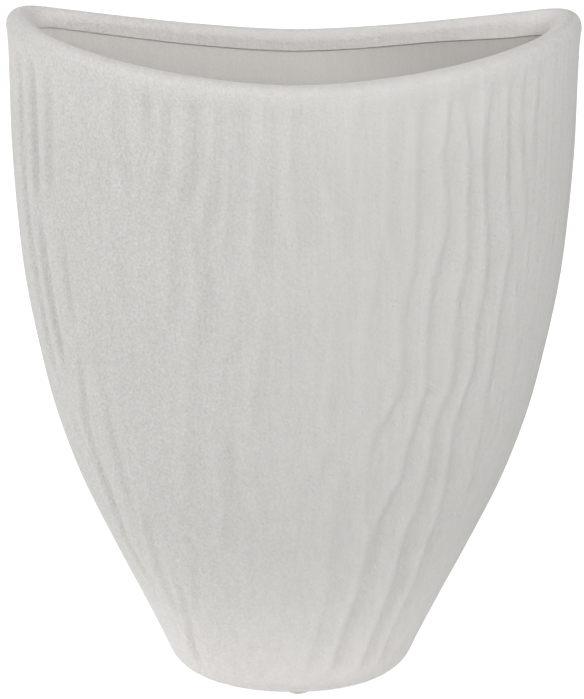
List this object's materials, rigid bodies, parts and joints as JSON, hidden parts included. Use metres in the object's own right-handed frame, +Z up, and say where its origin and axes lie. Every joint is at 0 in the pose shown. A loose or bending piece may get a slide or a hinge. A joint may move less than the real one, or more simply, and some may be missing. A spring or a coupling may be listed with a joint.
{
  "type": "hanging wall vase",
  "caption": "Flat-backed hanging wall vase in matte ceramic, with a dipped rolled rim, uneven upright flutes, a keyhole hanger in the back and clear rubber bumpers.",
  "frame": {"origin": "centre of the keyhole's entry hole, at the back face of the clay", "axes": "+Z up along the hanging vase, +Y out of the back into the wall, +X to the right as seen from the room"},
  "size_m": [0.2198, 0.0984, 0.264],
  "materials": {
    "clay": "unglazed off-white fired clay with a fine sandy matte coat, inside and out",
    "bumper": "clear soft polyurethane rubber, smooth, slightly milky"
  },
  "bodies": {
    "root": {"vase_body": "clay", "base_bumper_front": "bumper", "base_bumper_rear_left": "bumper", "base_bumper_rear_right": "bumper", "wall_bumper_left": "bumper", "wall_bumper_right": "bumper"}
  },
  "joints": []
}
